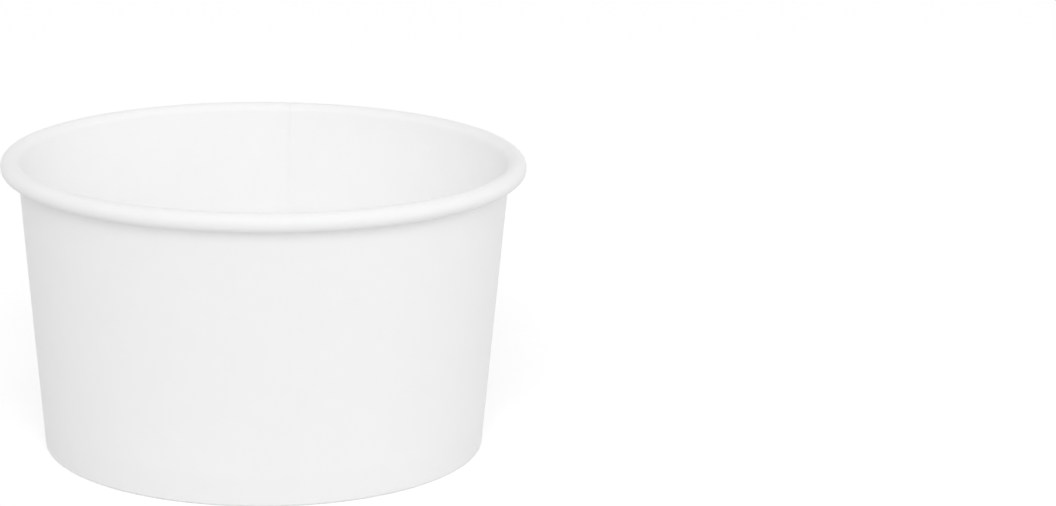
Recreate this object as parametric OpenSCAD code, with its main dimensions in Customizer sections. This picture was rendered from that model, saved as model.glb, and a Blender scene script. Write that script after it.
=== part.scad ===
// Paper sundae cup. A fan-shaped blank of coated board is rolled into a cone and lapped down one
// side, its top edge is curled outward into a rim, and its foot is turned in over the skirt of a
// base disc. The origin is the middle of the foot, on the table, with +Z up.

/* [Cup] */
// Diameter over the rolled rim
rim_diameter = 97; // [92:0.5:110]
// Height from the table to the top of the rim
cup_height = 55; // [40:0.5:90]
// Outside diameter of the wall at the table
foot_diameter = 82; // [70:0.5:86]

/* [Side wall] */
// Thickness of the side wall's board
wall_board = 0.4; // [0.3:0.05:0.6]
// Diameter of the rolled rim, seen in section
curl_diameter = 3.5; // [2.8:0.1:4.5]
// Gap where the roll closes against the wall
curl_gap = 0.1; // [0.05:0.05:0.3]
// Inside radius of the folds at the foot
fold_radius = 0.1; // [0.05:0.05:0.15]

/* [Side seam] */
// Direction of the seam, turned from +X towards +Y
seam_angle = 83.5; // [0:0.5:359.5]
// Width of the overlap at the rim
lap_width = 7; // [4:0.5:12]
// Length over which the outer flap climbs onto the inner one
lap_climb = 3; // [2:0.5:5]
// Width of the line that the seam leaves across the roll
rim_line_width = 0.6; // [0.3:0.1:1.2]
// Depth of that line
rim_line_depth = 0.15; // [0.05:0.05:0.25]

/* [Base disc] */
// Thickness of the base disc's board
base_board = 0.3; // [0.25:0.05:0.5]
// Height of the disc's underside above the table
floor_height = 6; // [4:0.5:12]
// Inside radius of the bend between the disc and its skirt
floor_bend = 0.6; // [0.3:0.1:1]
// Gap between the bend and the raw edge of the turned-in foot
hem_gap = 0.4; // [0.2:0.1:1]
// Film of coating between the sealed layers of the foot
seal_gap = 0.05; // [0.03:0.01:0.1]

/* [Hidden] */
$fn = 128;

full_turn = 360;
rim_radius = rim_diameter / 2;
foot_radius = foot_diameter / 2;

// The wall's outer face is the line from the foot that touches the bore of the roll.
curl_radius = curl_diameter / 2;
curl_bore = curl_radius - wall_board;
curl_center = [rim_radius - curl_radius, cup_height - curl_radius];
curl_reach = curl_center - [foot_radius, 0];
lean = acos(curl_bore / norm(curl_reach)) - atan2(curl_reach.y, curl_reach.x);
curl_closing = acos((curl_bore - curl_gap) / curl_radius);

// The foot's layers, from the outside in: the wall, the disc's skirt, the turned-in hem.
skirt_depth = wall_board + seal_gap;
hem_depth = skirt_depth + base_board + seal_gap;
fold_outer = fold_radius + wall_board;
outer_fold = inside_wall(fold_outer, fold_outer);
inner_fold = inside_wall(fold_outer, hem_depth - fold_radius);
wall_length = (curl_center - outer_fold) * [sin(lean), cos(lean)];

bend_outer = floor_bend + base_board;
bend_height = floor_height - floor_bend;
floor_corner = inside_wall(bend_height, skirt_depth + bend_outer);
skirt_length = (bend_height - bend_outer * sin(lean) - fold_outer) / cos(lean);
hem_length = (bend_height - hem_gap - fold_outer) / cos(lean);

// How far the boards' pointed ends reach into their bends
wall_point = wall_board / 2;
base_point = base_board / 2;

// The outer flap stops short of the roll above it.
lap_length = wall_length - sqrt(curl_radius ^ 2 - (curl_bore - wall_board) ^ 2) - curl_gap;
lap_angle = turn_of(lap_width);
climb_angle = turn_of(lap_climb);
climb_slope = atan(wall_board / lap_climb);
clear_size = 2 * (rim_diameter + cup_height);

// The wall's own sweep starts and ends opposite the seam.
sweep_start = full_turn / 2;

// Point at a height in the section, this deep inside the wall's outer face
function inside_wall(height, depth) = [foot_radius - depth / cos(lean) + height * tan(lean), height];

// Angle round the cup that a width takes up at the rim
function turn_of(width) = full_turn * width / (PI * rim_diameter);

// Section drawn from a bend's centre, with X square to the wall and Y up along it
module leaning(center) {
    translate(center)
        rotate(-lean)
            children();
}

// Straight board between two faces. An end that runs on into a bend has a point that reaches into it.
module strip(inner, outer, low, high, low_point = 0, high_point = 0) {
    middle = (inner + outer) / 2;
    polygon([
        [inner, low],
        if (low_point > 0) [middle, low - low_point],
        [outer, low],
        [outer, high],
        if (high_point > 0) [middle, high + high_point],
        [inner, high]
    ]);
}

// Board bent from level to the wall's lean: side and up are 1 or -1, for the quarter that it fills
module corner(center, inside, board, side, up) {
    size = 4 * (inside + board);
    translate(center)
        intersection() {
            difference() {
                circle(inside + board);
                circle(inside);
            }
            translate([side * size / 2, 0])
                square(size, center = true);
            rotate(-lean)
                translate([0, up * size / 2])
                    square(size, center = true);
        }
}

// The top edge, rolled outward and down until it closes on the wall
module roll() {
    opening = 2 * curl_radius;
    translate([fold_outer + curl_bore, wall_length])
        difference() {
            circle(curl_radius);
            circle(curl_bore);
            polygon([[0, 0], [-opening, 0], -opening * [cos(curl_closing), sin(curl_closing)]]);
        }
}

// The blank's section: rolled rim, wall, foot folded in, hem turned up inside the skirt
module wall_section() {
    leaning(outer_fold) {
        roll();
        strip(fold_radius, fold_outer, 0, wall_length, wall_point, wall_point);
    }
    corner(outer_fold, fold_radius, wall_board, 1, -1);
    strip(inner_fold.x, outer_fold.x, 0, wall_board);
    corner(inner_fold, fold_radius, wall_board, -1, -1);
    leaning(inner_fold)
        strip(-fold_outer, -fold_radius, 0, hem_length, wall_point);
}

// Section swept round the cup's axis between two angles, counted from the seam
module sector(from, to) {
    rotate(from)
        rotate_extrude(angle = to - from)
            children();
}

// All that lies inside a plane which climbs one board's thickness over the length of the climb
module inside_climb(out) {
    rotate(climb_angle / 2)
        translate([foot_radius, 0, 0])
            rotate([0, lean, 0])
                translate([out, 0, 0])
                    rotate(climb_slope)
                        translate([-clear_size, -clear_size / 2, -clear_size / 2])
                            cube(clear_size);
}

// The outer flap: it climbs over the inner flap's edge and lies on it for the width of the lap
module outer_flap() {
    intersection() {
        sector(-lap_angle, 2 * climb_angle)
            leaning(outer_fold)
                strip(fold_outer - wall_board / 2, fold_outer + wall_board, 0, lap_length);
        inside_climb(wall_board / 2);
    }
}

// The same flap on the turned-in foot, where it faces the recess under the cup
module hem_flap() {
    trim = wall_board / 2;
    sector(-lap_angle, 0)
        leaning(inner_fold)
            strip(-fold_outer - wall_board, -fold_outer + trim, trim, hem_length - trim);
}

// The valley beside the inner flap's raw edge, where the wall climbs away behind it
module inner_valley() {
    intersection() {
        sector(0, 2 * climb_angle)
            leaning(outer_fold)
                strip(fold_radius - seal_gap, fold_outer + wall_board / 2, 0, wall_length);
        inside_climb(-wall_board / 2);
    }
}

// The raw edge's line over the top and the outside of the roll
module rim_line() {
    size = 2 * curl_diameter;
    sector(0, turn_of(rim_line_width))
        leaning(outer_fold)
            translate([fold_outer + curl_bore, wall_length])
                difference() {
                    circle(curl_radius + rim_line_depth);
                    circle(curl_radius - rim_line_depth);
                    translate([-size, -size])
                        square(size);
                }
}

module side_wall() {
    color("whitesmoke")
        rotate(seam_angle)
            difference() {
                union() {
                    sector(sweep_start, sweep_start + full_turn)
                        wall_section();
                    outer_flap();
                    hem_flap();
                }
                inner_valley();
                rim_line();
            }
}

// The disc's section: flat floor, bend, skirt held between the wall and the hem
module base_section() {
    strip(0, floor_corner.x, floor_height, floor_height + base_board);
    corner(floor_corner, floor_bend, base_board, 1, 1);
    leaning(floor_corner)
        strip(floor_bend, bend_outer, -skirt_length, 0, high_point = base_point);
}

module base_disc() {
    color("white")
        rotate_extrude()
            base_section();
}

side_wall();
base_disc();
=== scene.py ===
# A paper sundae cup of white coated board: first the base disc, then the side wall that is wrapped,
# sealed, hemmed and curled round it, then the floor, the light and the camera.
import math

import bmesh
import bpy
import numpy as np
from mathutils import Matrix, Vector


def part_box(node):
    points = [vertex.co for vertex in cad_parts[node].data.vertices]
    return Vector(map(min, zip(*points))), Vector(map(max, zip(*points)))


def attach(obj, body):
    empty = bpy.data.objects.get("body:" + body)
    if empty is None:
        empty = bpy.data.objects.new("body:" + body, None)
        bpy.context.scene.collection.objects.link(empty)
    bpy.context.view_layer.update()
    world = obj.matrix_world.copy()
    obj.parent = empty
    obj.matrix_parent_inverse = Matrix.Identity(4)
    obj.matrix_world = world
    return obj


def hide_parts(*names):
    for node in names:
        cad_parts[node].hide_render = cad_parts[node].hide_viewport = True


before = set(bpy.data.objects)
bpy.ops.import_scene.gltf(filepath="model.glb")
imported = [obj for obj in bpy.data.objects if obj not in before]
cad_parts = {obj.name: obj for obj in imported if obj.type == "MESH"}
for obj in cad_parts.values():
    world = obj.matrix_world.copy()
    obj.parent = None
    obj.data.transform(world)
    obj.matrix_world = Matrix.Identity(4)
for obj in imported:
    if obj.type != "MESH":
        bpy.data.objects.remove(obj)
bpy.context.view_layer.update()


# Base disc: a round blank of thin paperboard with a film of polyethylene on its food side. Its edge is
# drawn down over a die into a skirt, which is sealed between the side wall and the hem, so the floor
# of the cup hangs a few millimetres above the table.
MM = 0.001
BASE_BOARD = 0.3 * MM
FLOOR_BEND = 0.6 * MM
FLOOR_SAG = 0.12 * MM
FLOOR_RIPPLE = 0.03 * MM
FLOOR_RIPPLES = 5
FLOOR_RINGS = 18
BEND_STEPS = 8
SKIRT_STEPS = 4
BASE_STEPS = 360
FILM_WHITE = "#F9F9F9"
FILM_SHADE = "#F6F6F6"
CLAY_WHITE = "#F7F7F7"
CLAY_SHADE = "#F4F4F4"
EDGE_FIBRE = "#ECEAE5"
EDGE_SHADE = "#DEDBD4"

# The cone that the skirt and the side wall lean along: it runs from the foot up to the bore of the
# rolled rim, which it touches. A section holds radius and height.
FOOT_RADIUS = 41 * MM
WALL_BOARD = 0.4 * MM
CURL_RADIUS = 1.75 * MM
SEAL_FILM = 0.05 * MM
_, wall_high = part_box("side_wall")
rim_radius = wall_high.x
cup_height = wall_high.z
curl_bore = CURL_RADIUS - WALL_BOARD
curl_center = np.array([rim_radius - CURL_RADIUS, cup_height - CURL_RADIUS])
curl_reach = curl_center - [FOOT_RADIUS, 0]
lean = math.acos(curl_bore / np.hypot(*curl_reach)) - math.atan2(curl_reach[1], curl_reach[0])
outward = np.array([1, 0])
upward = np.array([0, 1])
wall_out = np.array([math.cos(lean), -math.sin(lean)])
wall_up = np.array([math.sin(lean), math.cos(lean)])


def inside_wall(height, depth):
    """Point of the section at a height, this deep behind the wall's outer face."""
    return np.array([FOOT_RADIUS - depth / math.cos(lean) + height * math.tan(lean), height])


def stretch(points, normals, weights):
    """Stretch of a board's middle line, with a weight for each thing that may shape it, 0 if not given."""
    shaped = {"point": points, "normal": normals}
    for name in ("sag", "flap", "valley", "line", "knurl", "sway", "slack"):
        shaped[name] = np.zeros(len(points)) + weights.get(name, 0.0)
    return shaped


def straight(start, along, runs, out, **weights):
    """Straight stretch: runs are lengths along it, and out is the way its outer skin looks."""
    points = start + np.outer(runs, along)
    return stretch(points, np.tile(out, (len(runs), 1)), weights)


def bent(center, radius, turns, facing, **weights):
    """Stretch bent round a centre: turns are angles, facing is 1 if its outer skin looks away from it."""
    rays = np.stack([np.cos(turns), np.sin(turns)], axis=1)
    return stretch(center + radius * rays, facing * rays, weights)


def joined(*stretches):
    """One middle line made of stretches that follow on from each other."""
    return {key: np.concatenate([part[key] for part in stretches]) for key in stretches[0]}


MERGE = 0.0005 * MM
SHARP_ANGLE = math.radians(38)
OUTER_SKIN, INNER_SKIN, RAW_EDGE = range(3)


def board_mesh(name, angles, outer, inner, cut_rings, materials):
    """Closed mesh of a board from its two skins, swept round the cup. Each skin holds a radius and a
    height for every angle and every point of the section. Materials: outer skin, inner skin, raw edges."""
    outer_radius, outer_height = outer
    inner_radius, inner_height = inner
    radius = np.concatenate([outer_radius, inner_radius[:, ::-1]], axis=1)
    height = np.concatenate([outer_height, inner_height[:, ::-1]], axis=1)
    rings, width = radius.shape
    to_right = radius * np.cos(angles)[:, None]
    to_back = radius * np.sin(angles)[:, None]
    vertices = np.stack([to_right, to_back, height], axis=2)
    ring, point = np.meshgrid(np.arange(rings), np.arange(width), indexing="ij")
    next_ring = (ring + 1) % rings
    next_point = (point + 1) % width
    corners = [(ring, point), (next_ring, point), (next_ring, next_point), (ring, next_point)]
    faces = np.stack([at_ring * width + at_point for at_ring, at_point in corners], axis=2)
    turn_over = outer_radius.shape[1]
    raw = np.isin(ring, cut_rings) | np.isin(point, [turn_over - 1, width - 1])
    skin = np.where(point < turn_over, OUTER_SKIN, INNER_SKIN)
    finish = np.where(raw, RAW_EDGE, skin)
    mesh = bpy.data.meshes.new(name)
    mesh.from_pydata(vertices.reshape(-1, 3), [], faces.reshape(-1, 4))
    for material in materials:
        mesh.materials.append(material)
    mesh.polygons.foreach_set("material_index", finish.reshape(-1).astype(np.int32))
    closed = bmesh.new()
    closed.from_mesh(mesh)
    bmesh.ops.remove_doubles(closed, verts=closed.verts, dist=MERGE)
    bmesh.ops.recalc_face_normals(closed, faces=closed.faces)
    closed.to_mesh(mesh)
    closed.free()
    mesh.shade_smooth()
    mesh.set_sharp_from_angle(angle=SHARP_ANGLE)
    piece = bpy.data.objects.new(name, mesh)
    bpy.context.scene.collection.objects.link(piece)
    return piece


def linear(hex_colour):
    """sRGB hex colour as linear RGBA."""
    channels = [int(hex_colour[i:i + 2], 16) / 255 for i in (1, 3, 5)]
    return (*[c / 12.92 if c <= 0.04045 else ((c + 0.055) / 1.055) ** 2.4 for c in channels], 1.0)


def add_node(tree, kind, settings=None, in_order=(), **named):
    """Adds a node with its settings. Its inputs, in order or by name, take a value or a link."""
    node = tree.nodes.new(kind)
    for key, value in (settings or {}).items():
        setattr(node, key, value)
    filled = list(zip(node.inputs, in_order))
    filled += [(node.inputs[name.replace("_", " ")], value) for name, value in named.items()]
    for socket, value in filled:
        if isinstance(value, bpy.types.NodeSocket):
            tree.links.new(value, socket)
        else:
            socket.default_value = value
    return node


def fresh_material(name):
    """Empty node material."""
    material = bpy.data.materials.new(name)
    material.use_nodes = True
    material.node_tree.nodes.clear()
    return material


# Coated paperboard: bleached fibres under a film of polyethylene, chilled on a matt roll, on the food
# side, and under a smoothed coat of clay on the other. Both give an even white with a soft, broad sheen,
# faint clouds of fibre and slight cockles. The coat's grain is drawn coarser than it is, so that it shows.
FIBRE_CLOUD = 5 * MM
CLOUD_DETAIL = 4.0
BOARD_COCKLE = 9 * MM
COCKLE_RELIEF = 0.02 * MM
COCKLE_DETAIL = 1.0
COAT_GRAIN = 0.35 * MM
COAT_RELIEF = 0.003 * MM
GRAIN_DETAIL = 2.0
NOISE_ROUGHNESS = 0.6
COAT_IOR = 1.5
FILM_ROUGHNESS = 0.6
CLAY_ROUGHNESS = 0.6
ROUGHNESS_SPREAD = 0.05
BOARD_GLOW = 0.2
GLOW_REACH = 0.4 * MM


def coated_paperboard(name, white, shade, roughness):
    material = fresh_material(name)
    tree = material.node_tree
    place = add_node(tree, "ShaderNodeTexCoord").outputs["Object"]
    clouds = add_node(tree, "ShaderNodeTexNoise", Vector=place, Scale=1 / FIBRE_CLOUD,
                      Detail=CLOUD_DETAIL, Roughness=NOISE_ROUGHNESS)
    colour = add_node(tree, "ShaderNodeMix", {"data_type": "RGBA"}, Factor=clouds.outputs["Fac"],
                      A=linear(shade), B=linear(white))
    dullness = add_node(tree, "ShaderNodeMapRange", Value=clouds.outputs["Fac"],
                        To_Min=roughness - ROUGHNESS_SPREAD, To_Max=roughness + ROUGHNESS_SPREAD)
    cockle = add_node(tree, "ShaderNodeTexNoise", Vector=place, Scale=1 / BOARD_COCKLE,
                      Detail=COCKLE_DETAIL)
    grain = add_node(tree, "ShaderNodeTexNoise", Vector=place, Scale=1 / COAT_GRAIN,
                     Detail=GRAIN_DETAIL, Roughness=NOISE_ROUGHNESS)
    broad = add_node(tree, "ShaderNodeBump", Height=cockle.outputs["Fac"], Distance=COCKLE_RELIEF)
    fine = add_node(tree, "ShaderNodeBump", Height=grain.outputs["Fac"], Distance=COAT_RELIEF,
                    Normal=broad.outputs["Normal"])
    board = add_node(tree, "ShaderNodeBsdfPrincipled", Base_Color=colour.outputs["Result"],
                     Roughness=dullness.outputs["Result"], IOR=COAT_IOR, Normal=fine.outputs["Normal"],
                     Subsurface_Weight=BOARD_GLOW, Subsurface_Radius=(1, 1, 1), Subsurface_Scale=GLOW_REACH)
    add_node(tree, "ShaderNodeOutputMaterial", Surface=board.outputs["BSDF"])
    return material


# Cut edge of paperboard: the coat ends here and the pressed fibres are bare, so the edge is dull, a
# little creamier than the coat and rough with fibre ends, which are drawn coarser than they are to show.
FIBRE_ENDS = 0.12 * MM
FIBRE_DETAIL = 3.0
FIBRE_FRAY = 0.7
FIBRE_RELIEF = 0.015 * MM
FIBRE_ROUGHNESS = 0.85


def cut_paperboard(name, white, shade):
    material = fresh_material(name)
    tree = material.node_tree
    place = add_node(tree, "ShaderNodeTexCoord").outputs["Object"]
    ends = add_node(tree, "ShaderNodeTexNoise", Vector=place, Scale=1 / FIBRE_ENDS,
                    Detail=FIBRE_DETAIL, Roughness=FIBRE_FRAY)
    colour = add_node(tree, "ShaderNodeMix", {"data_type": "RGBA"}, Factor=ends.outputs["Fac"],
                      A=linear(shade), B=linear(white))
    fuzz = add_node(tree, "ShaderNodeBump", Height=ends.outputs["Fac"], Distance=FIBRE_RELIEF)
    fibres = add_node(tree, "ShaderNodeBsdfPrincipled", Base_Color=colour.outputs["Result"],
                      Roughness=FIBRE_ROUGHNESS, Normal=fuzz.outputs["Normal"])
    add_node(tree, "ShaderNodeOutputMaterial", Surface=fibres.outputs["BSDF"])
    return material


film_side = coated_paperboard("film_coated_paperboard", FILM_WHITE, FILM_SHADE, FILM_ROUGHNESS)
clay_side = coated_paperboard("clay_coated_paperboard", CLAY_WHITE, CLAY_SHADE, CLAY_ROUGHNESS)
cut_edge = cut_paperboard("cut_paperboard", EDGE_FIBRE, EDGE_SHADE)

base_low, base_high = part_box("base_disc")
bend_outer = FLOOR_BEND + BASE_BOARD
bend_middle = FLOOR_BEND + BASE_BOARD / 2
bend_height = base_high.z - bend_outer
skirt_depth = WALL_BOARD + SEAL_FILM
floor_corner = inside_wall(bend_height, skirt_depth + bend_outer)
skirt_top = floor_corner + bend_middle * wall_out
skirt_drop = bend_height - base_low.z - bend_outer * math.sin(lean)
skirt_length = skirt_drop / math.cos(lean)

floor_start = np.array([0, base_high.z - BASE_BOARD / 2])
floor_reach = floor_corner @ outward
floor_runs = np.linspace(0, floor_reach, FLOOR_RINGS)
bend_turns = np.linspace(math.pi / 2, -lean, BEND_STEPS + 2)[1:-1]
skirt_runs = np.linspace(0, skirt_length, SKIRT_STEPS)
base_line = joined(
    straight(floor_start, outward, floor_runs, upward, sag=1 - (floor_runs / floor_reach) ** 2),
    bent(floor_corner, bend_middle, bend_turns, 1),
    straight(skirt_top, -wall_up, skirt_runs, wall_out),
)
base_angles = np.linspace(0, math.tau, BASE_STEPS, endpoint=False)
sag = base_line["sag"]
ripple = FLOOR_RIPPLE * np.outer(np.cos(FLOOR_RIPPLES * base_angles), sag * (1 - sag))
hang = ripple - FLOOR_SAG * sag


def base_skin(offset):
    """One skin of the disc: its radii and heights at every ring and every point of the section."""
    radius, height = (base_line["point"] + offset * base_line["normal"]).T
    return np.tile(radius, (BASE_STEPS, 1)), height + hang


base_disc = board_mesh(
    "base_disc_board", base_angles, base_skin(BASE_BOARD / 2), base_skin(-BASE_BOARD / 2), [],
    [film_side, clay_side, cut_edge])
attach(base_disc, "root")
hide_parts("base_disc")


# Side wall: one fan-shaped blank of heavier coated paperboard. It is wrapped round the base disc and
# heat-sealed to itself down a lap, its foot is folded in and pressed against the skirt by a knurled
# wheel, and its top edge is curled outward into a hollow rolled rim.
FOLD_RADIUS = 0.1 * MM
CURL_GAP = 0.1 * MM
HEM_GAP = 0.4 * MM
SEAM_TURN = math.radians(83.5)
LAP_WIDTH = 7 * MM
LAP_CLIMB = 3 * MM
VALLEY_DEPTH = 0.14 * MM
VALLEY_WIDTH = 0.9 * MM
PRESS_DEPTH = 0.08 * MM
PRESS_WIDTH = 0.6 * MM
RIM_LINE_FADE = 1.2 * MM
RIM_LINE_DEPTH = 0.15 * MM
KNURL_DEPTH = 0.1 * MM
KNURLS = 120
WALL_SWAY = 0.05 * MM
CURL_SLACK = 0.04 * MM
WALL_STEPS = 720
PRESS_STEPS = 6
LAP_STEPS = 18
CLIMB_STEPS = 21

# Length along the board over which a pressed shape sets in
EASE = 0.8 * MM

# Turns of the roll at which the line over it starts to fade and has gone, and over which its slack sets in
LINE_FADES = math.pi
LINE_GONE = 1.5 * math.pi
SLACK_ONSET = math.pi / 4

# Waves round the cup, each with its share, its number round the cup and its start
SWAY_WAVES = [(0.5, 3, 2), (0.3, 7, 0), (0.2, 11, 5)]
SLACK_WAVES = [(0.3, 5, 1), (0.2, 13, 4)]
SLACK_MEAN = 0.5

hem_depth = skirt_depth + BASE_BOARD + SEAL_FILM
fold_outer = FOLD_RADIUS + WALL_BOARD
fold_middle = FOLD_RADIUS + WALL_BOARD / 2
outer_fold = inside_wall(fold_outer, fold_outer)
inner_fold = inside_wall(fold_outer, hem_depth - FOLD_RADIUS)
foot_width = (outer_fold - inner_fold) @ outward
wall_length = (curl_center - outer_fold) @ wall_up
hem_length = (bend_height - HEM_GAP - fold_outer) / math.cos(lean)
curl_middle = curl_bore + WALL_BOARD / 2
curl_start = math.pi - lean
curl_end = math.tau - math.acos((curl_bore - CURL_GAP) / CURL_RADIUS)
lap_length = wall_length - math.sqrt(CURL_RADIUS ** 2 - (curl_bore - WALL_BOARD) ** 2) - CURL_GAP
lap_turn = LAP_WIDTH / rim_radius
climb_turn = LAP_CLIMB / rim_radius
valley_turn = VALLEY_WIDTH / rim_radius
press_turn = PRESS_WIDTH / rim_radius
line_turn = RIM_LINE_FADE / rim_radius


def wall_line(hem_steps, fold_steps, wall_steps, roll_steps):
    """Middle line of the blank in section: down the hem, under the foot, up the wall, round the roll."""
    hem_runs = np.concatenate([[hem_length], np.linspace(hem_length - EASE, EASE, hem_steps), [0]])
    hem = straight(
        inner_fold - fold_middle * wall_out, wall_up, hem_runs, -wall_out,
        flap=np.interp(hem_runs, [EASE / 4, EASE], [0, 1]),
        knurl=np.interp(hem_runs, [EASE, 2 * EASE, hem_length - EASE, hem_length], [0, 1, 1, 0]))
    folded = np.linspace(0, 1, fold_steps + 2)[1:-1]
    turned_in = bent(inner_fold, fold_middle, math.pi - lean + folded * (math.pi / 2 + lean), 1)
    foot_start = np.array([inner_fold @ outward, WALL_BOARD / 2])
    foot = straight(foot_start, outward, np.array([0, foot_width]), -upward)
    turned_up = bent(outer_fold, fold_middle, -math.pi / 2 + folded * (math.pi / 2 - lean), 1)
    lap_top = lap_length - EASE / 2
    middle_runs = np.linspace(EASE, lap_length - EASE, wall_steps)
    wall_runs = np.concatenate([[0], middle_runs, [lap_top, lap_length, wall_length]])
    wall = straight(
        outer_fold + fold_middle * wall_out, wall_up, wall_runs, wall_out,
        flap=np.interp(wall_runs, [0, EASE, lap_top, lap_length], [0, 1, 1, 0]),
        valley=np.interp(wall_runs, [0, EASE, lap_length, wall_length], [0, 1, 1, 0]),
        line=np.interp(wall_runs, [lap_length, wall_length], [0, 1]),
        sway=np.sin(math.pi * wall_runs / wall_length) ** 2)
    rolled = np.linspace(0, curl_end, roll_steps + 1)[1:]
    roll = bent(
        curl_center, curl_middle, curl_start - rolled, -1,
        line=np.interp(rolled, [LINE_FADES, LINE_GONE], [1, 0]),
        slack=np.interp(rolled, [0, SLACK_ONSET], [0, 1]))
    return joined(hem, turned_in, foot, turned_up, wall, roll)


# Angles round the cup, from the inner flap's raw edge. The outer flap's edge lies the width of the lap
# before it. Each raw edge has two rings at one angle, one on each side of its step.
press_start = -lap_turn - press_turn
before_lap = np.linspace(-math.pi, press_start, WALL_STEPS // 2)
beside_lap = np.linspace(press_start, -lap_turn, PRESS_STEPS)[1:]
over_lap = np.linspace(-lap_turn, 0, LAP_STEPS)
over_climb = np.linspace(0, climb_turn, CLIMB_STEPS)
past_seam = np.linspace(climb_turn, math.pi, WALL_STEPS // 2)[1:-1]
seam_turns = np.concatenate([before_lap, beside_lap, over_lap, over_climb, past_seam])
outer_edge = len(before_lap) + len(beside_lap) - 1
inner_edge = outer_edge + len(over_lap)
ring_number = np.arange(len(seam_turns))
past_outer_edge = ring_number > outer_edge
past_inner_edge = ring_number > inner_edge


def fall_off(distance, width):
    """1 at a raw edge, falling smoothly to 0 this far from it."""
    left = np.clip(1 - distance / width, 0, 1)
    return left * left * (3 - 2 * left)


def waves(parts):
    """Sum of waves at every angle round the cup."""
    return sum(share * np.cos(number * seam_turns + start) for share, number, start in parts)


flap = np.where(past_outer_edge, fall_off(seam_turns, climb_turn), 0)
press = np.where(past_outer_edge, 0, fall_off(-lap_turn - seam_turns, press_turn))
valley = np.where(past_inner_edge, fall_off(seam_turns, valley_turn), 0)
rim_line = np.where(past_inner_edge, np.clip(1 - seam_turns / line_turn, 0, 1), 0)
knurl = (1 - np.cos(KNURLS * seam_turns)) / 2
sway = waves(SWAY_WAVES)
slack = SLACK_MEAN + waves(SLACK_WAVES)


def wall_skin(line, offset, shaped):
    """One skin of the blank: its radii and heights at every ring and every point of the section."""
    out = offset + shaped + CURL_SLACK * np.outer(slack, line["slack"])
    radius, height = line["point"].T
    to_side, to_top = line["normal"].T
    return radius + out * to_side + WALL_SWAY * np.outer(sway, line["sway"]), height + out * to_top


outside = wall_line(hem_steps=7, fold_steps=5, wall_steps=14, roll_steps=10)
food_side = wall_line(hem_steps=3, fold_steps=3, wall_steps=12, roll_steps=40)
raised = np.outer(WALL_BOARD * flap - PRESS_DEPTH * press, outside["flap"])
raised -= KNURL_DEPTH * np.outer(knurl, outside["knurl"])
sunk = VALLEY_DEPTH * np.outer(valley, food_side["valley"])
sunk += RIM_LINE_DEPTH * np.outer(rim_line, food_side["line"])
side_wall = board_mesh(
    "side_wall_board", SEAM_TURN + seam_turns, wall_skin(outside, WALL_BOARD / 2, raised),
    wall_skin(food_side, -WALL_BOARD / 2, sunk), [outer_edge, inner_edge],
    [clay_side, film_side, cut_edge])
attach(side_wall, "root")
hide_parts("side_wall")


# Floor: a wide sheet of matt white paper that the cup stands on. It is lifted to plain white for the
# eye and for gloss alone, so it lights the cup no more than paper would, and it keeps the shadow.
FLOOR_SIDE = 12.0
FLOOR_WHITE = "#E1E1E1"
FLOOR_LIFT = 0.375


def seen_directly(tree):
    """1 for rays from the camera and for those that gloss or glass sends on, 0 for light."""
    path = add_node(tree, "ShaderNodeLightPath").outputs
    seen = path["Is Camera Ray"]
    for sent_on in ("Is Glossy Ray", "Is Transmission Ray"):
        either = add_node(tree, "ShaderNodeMath", {"operation": "MAXIMUM"}, [seen, path[sent_on]])
        seen = either.outputs["Value"]
    return seen


half = FLOOR_SIDE / 2
floor_corners = [(-half, -half, 0), (half, -half, 0), (half, half, 0), (-half, half, 0)]
floor_mesh = bpy.data.meshes.new("paper_floor")
floor_mesh.from_pydata(floor_corners, [], [(0, 1, 2, 3)])
floor = bpy.data.objects.new("paper_floor", floor_mesh)
bpy.context.scene.collection.objects.link(floor)

floor_paper = fresh_material("matt_white_paper")
paper_nodes = floor_paper.node_tree
matt = add_node(paper_nodes, "ShaderNodeBsdfDiffuse", Color=linear(FLOOR_WHITE))
lift = add_node(
    paper_nodes, "ShaderNodeMath", {"operation": "MULTIPLY"}, [seen_directly(paper_nodes), FLOOR_LIFT])
glow = add_node(paper_nodes, "ShaderNodeEmission", Strength=lift.outputs["Value"])
both = add_node(
    paper_nodes, "ShaderNodeAddShader", in_order=[matt.outputs["BSDF"], glow.outputs["Emission"]])
add_node(paper_nodes, "ShaderNodeOutputMaterial", Surface=both.outputs["Shader"])
floor_mesh.materials.append(floor_paper)


# Light: a white tent all round, a large soft box in front, above the rim, and a weaker one on each
# side. The white walls pass the light on many times inside the cup.
TENT_WHITE = "#FFFFFF"
TENT_SEEN = 1.0
TENT_LIGHT = 0.64
LIGHT_BOUNCES = 12
BOX_SIZE = 1.8
BOX_DISTANCE = 3.2
SOFT_BOXES = {
    "front_box": {"side": 0, "rise": 30, "watts": 36},
    "left_box": {"side": -90, "rise": 40, "watts": 6},
    "right_box": {"side": 90, "rise": 16, "watts": 13.5},
}

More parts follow.
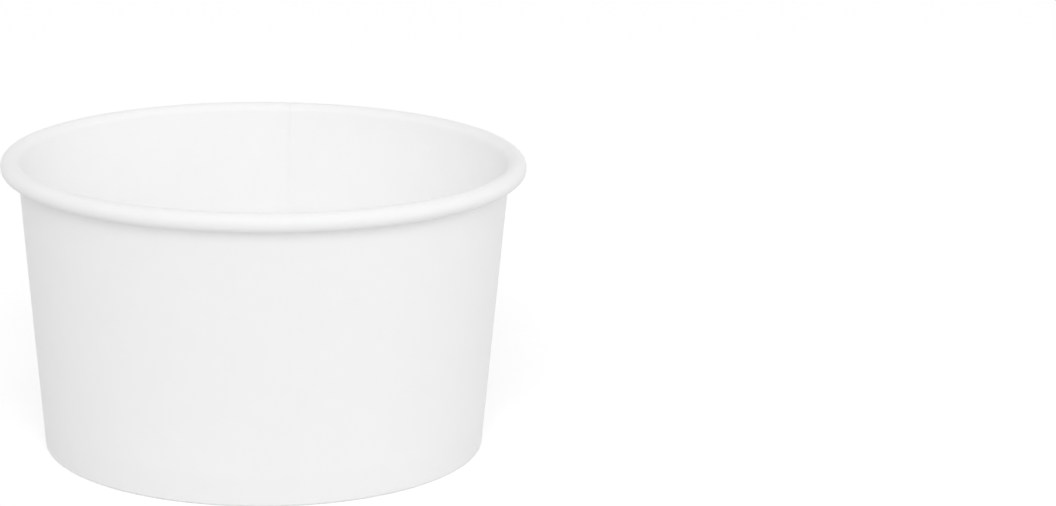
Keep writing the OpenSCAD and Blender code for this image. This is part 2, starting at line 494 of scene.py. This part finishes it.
tent = bpy.data.worlds.new("white_tent")
bpy.context.scene.world = tent
tent.use_nodes = True
tent_nodes = tent.node_tree
tent_nodes.nodes.clear()
strength = add_node(
    tent_nodes, "ShaderNodeMapRange", Value=seen_directly(tent_nodes), To_Min=TENT_LIGHT, To_Max=TENT_SEEN)
backdrop = add_node(
    tent_nodes, "ShaderNodeBackground", Color=linear(TENT_WHITE), Strength=strength.outputs["Result"])
add_node(tent_nodes, "ShaderNodeOutputWorld", Surface=backdrop.outputs["Background"])
bpy.context.scene.cycles.diffuse_bounces = LIGHT_BOUNCES

cup_middle = Vector((0, 0, cup_height / 2))


def seen_from_cup(side, rise):
    """Direction from the cup: side is turned from the front towards the right, rise is up, in degrees."""
    turn = math.radians(side)
    climb = math.radians(rise)
    return Vector((math.sin(turn) * math.cos(climb), -math.cos(turn) * math.cos(climb), math.sin(climb)))


for box_name, box in SOFT_BOXES.items():
    lamp = bpy.data.lights.new(box_name, "AREA")
    lamp.energy = box["watts"]
    lamp.size = BOX_SIZE
    soft_box = bpy.data.objects.new(box_name, lamp)
    direction = seen_from_cup(box["side"], box["rise"])
    soft_box.location = cup_middle + BOX_DISTANCE * direction
    soft_box.rotation_mode = "QUATERNION"
    soft_box.rotation_quaternion = (-direction).to_track_quat("-Z", "Y")
    bpy.context.scene.collection.objects.link(soft_box)


# Camera: the photograph's view, from a little above the rim. The cup's middle lies left of the picture's
# middle, so the camera is turned off the cup instead of being shifted.
PHOTO_WIDTH = 1056
PHOTO_HEIGHT = 506
FOCAL_PIXELS = 3244.8
CUP_PIXEL_X = 265.1
CUP_PIXEL_Y = 296.7
CAMERA_DISTANCE = 0.6097
CAMERA_RISE = 15.15

camera_data = bpy.data.cameras.new("camera")
camera_data.lens = FOCAL_PIXELS / PHOTO_WIDTH * camera_data.sensor_width
camera = bpy.data.objects.new("camera", camera_data)
away = seen_from_cup(0, CAMERA_RISE)
camera.location = cup_middle + CAMERA_DISTANCE * away
straight_on = Vector((0, 0, -1))
to_cup = Vector((CUP_PIXEL_X - PHOTO_WIDTH / 2, PHOTO_HEIGHT / 2 - CUP_PIXEL_Y, -FOCAL_PIXELS))
turn_off = straight_on.rotation_difference(to_cup)
camera.rotation_mode = "QUATERNION"
camera.rotation_quaternion = (-away).to_track_quat("-Z", "Y") @ turn_off.inverted()
bpy.context.scene.collection.objects.link(camera)
bpy.context.scene.camera = camera
bpy.context.scene.view_settings.view_transform = "Standard"
